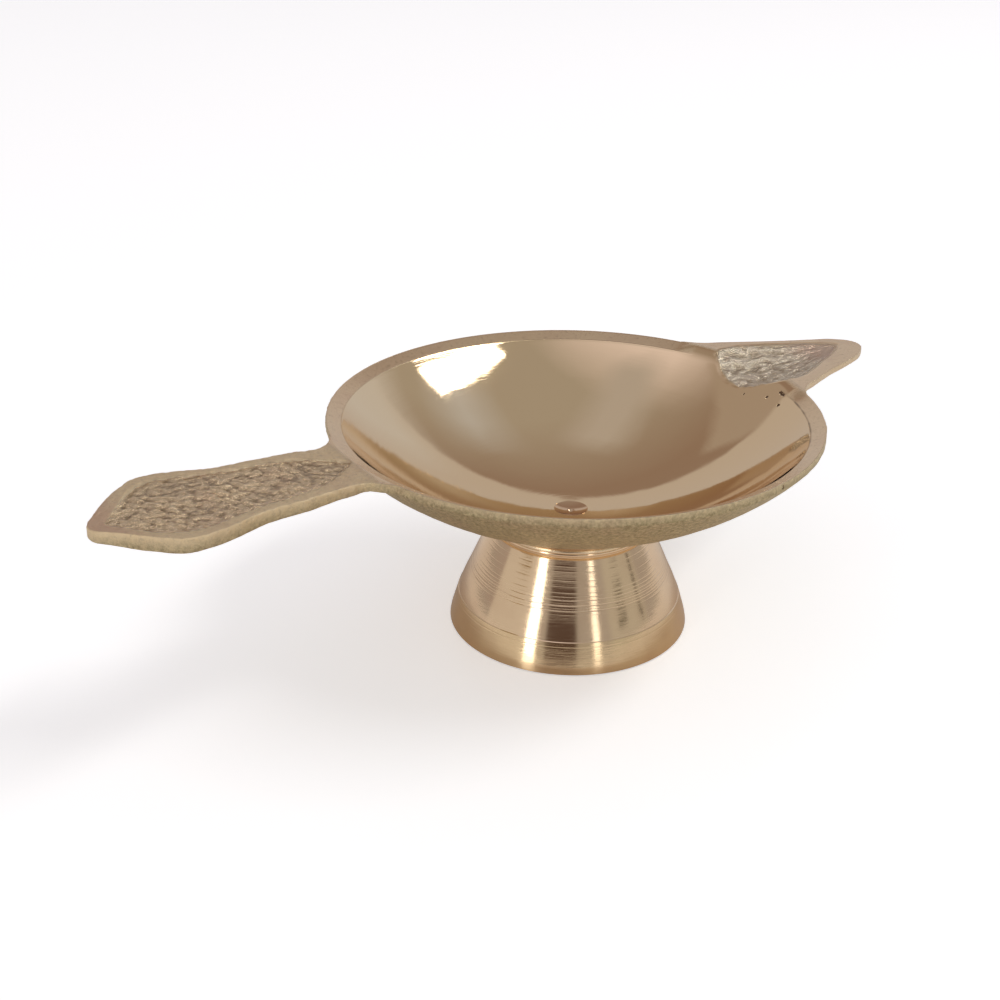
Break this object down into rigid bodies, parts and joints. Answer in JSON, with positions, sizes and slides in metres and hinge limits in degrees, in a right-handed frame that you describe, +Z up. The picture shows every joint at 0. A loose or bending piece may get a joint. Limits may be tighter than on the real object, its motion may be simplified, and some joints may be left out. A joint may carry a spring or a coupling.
{
  "type": "diya oil lamp",
  "caption": "Cast brass oil lamp for prayer: shallow round bowl on a hollow flared foot, flat patterned handle on one side and a leaf-shaped wick rest on the other.",
  "frame": {"origin": "middle of the lamp's length and width, on the surface it stands on; the bowl's own axis is 7.5 mm towards the leaf from it", "axes": "+X from the handle towards the leaf-shaped wick rest, +Y across, +Z up"},
  "size_m": [0.1342, 0.075, 0.0355],
  "materials": {
    "pan_brass": "polished inside the bowl, ground on the rim, rough sand-cast outside",
    "foot_brass": "bright turned",
    "rivet_brass": "peened and turned flush"
  },
  "bodies": {
    "root": {"pan": "pan_brass", "foot": "foot_brass", "rivet": "rivet_brass"}
  },
  "joints": []
}
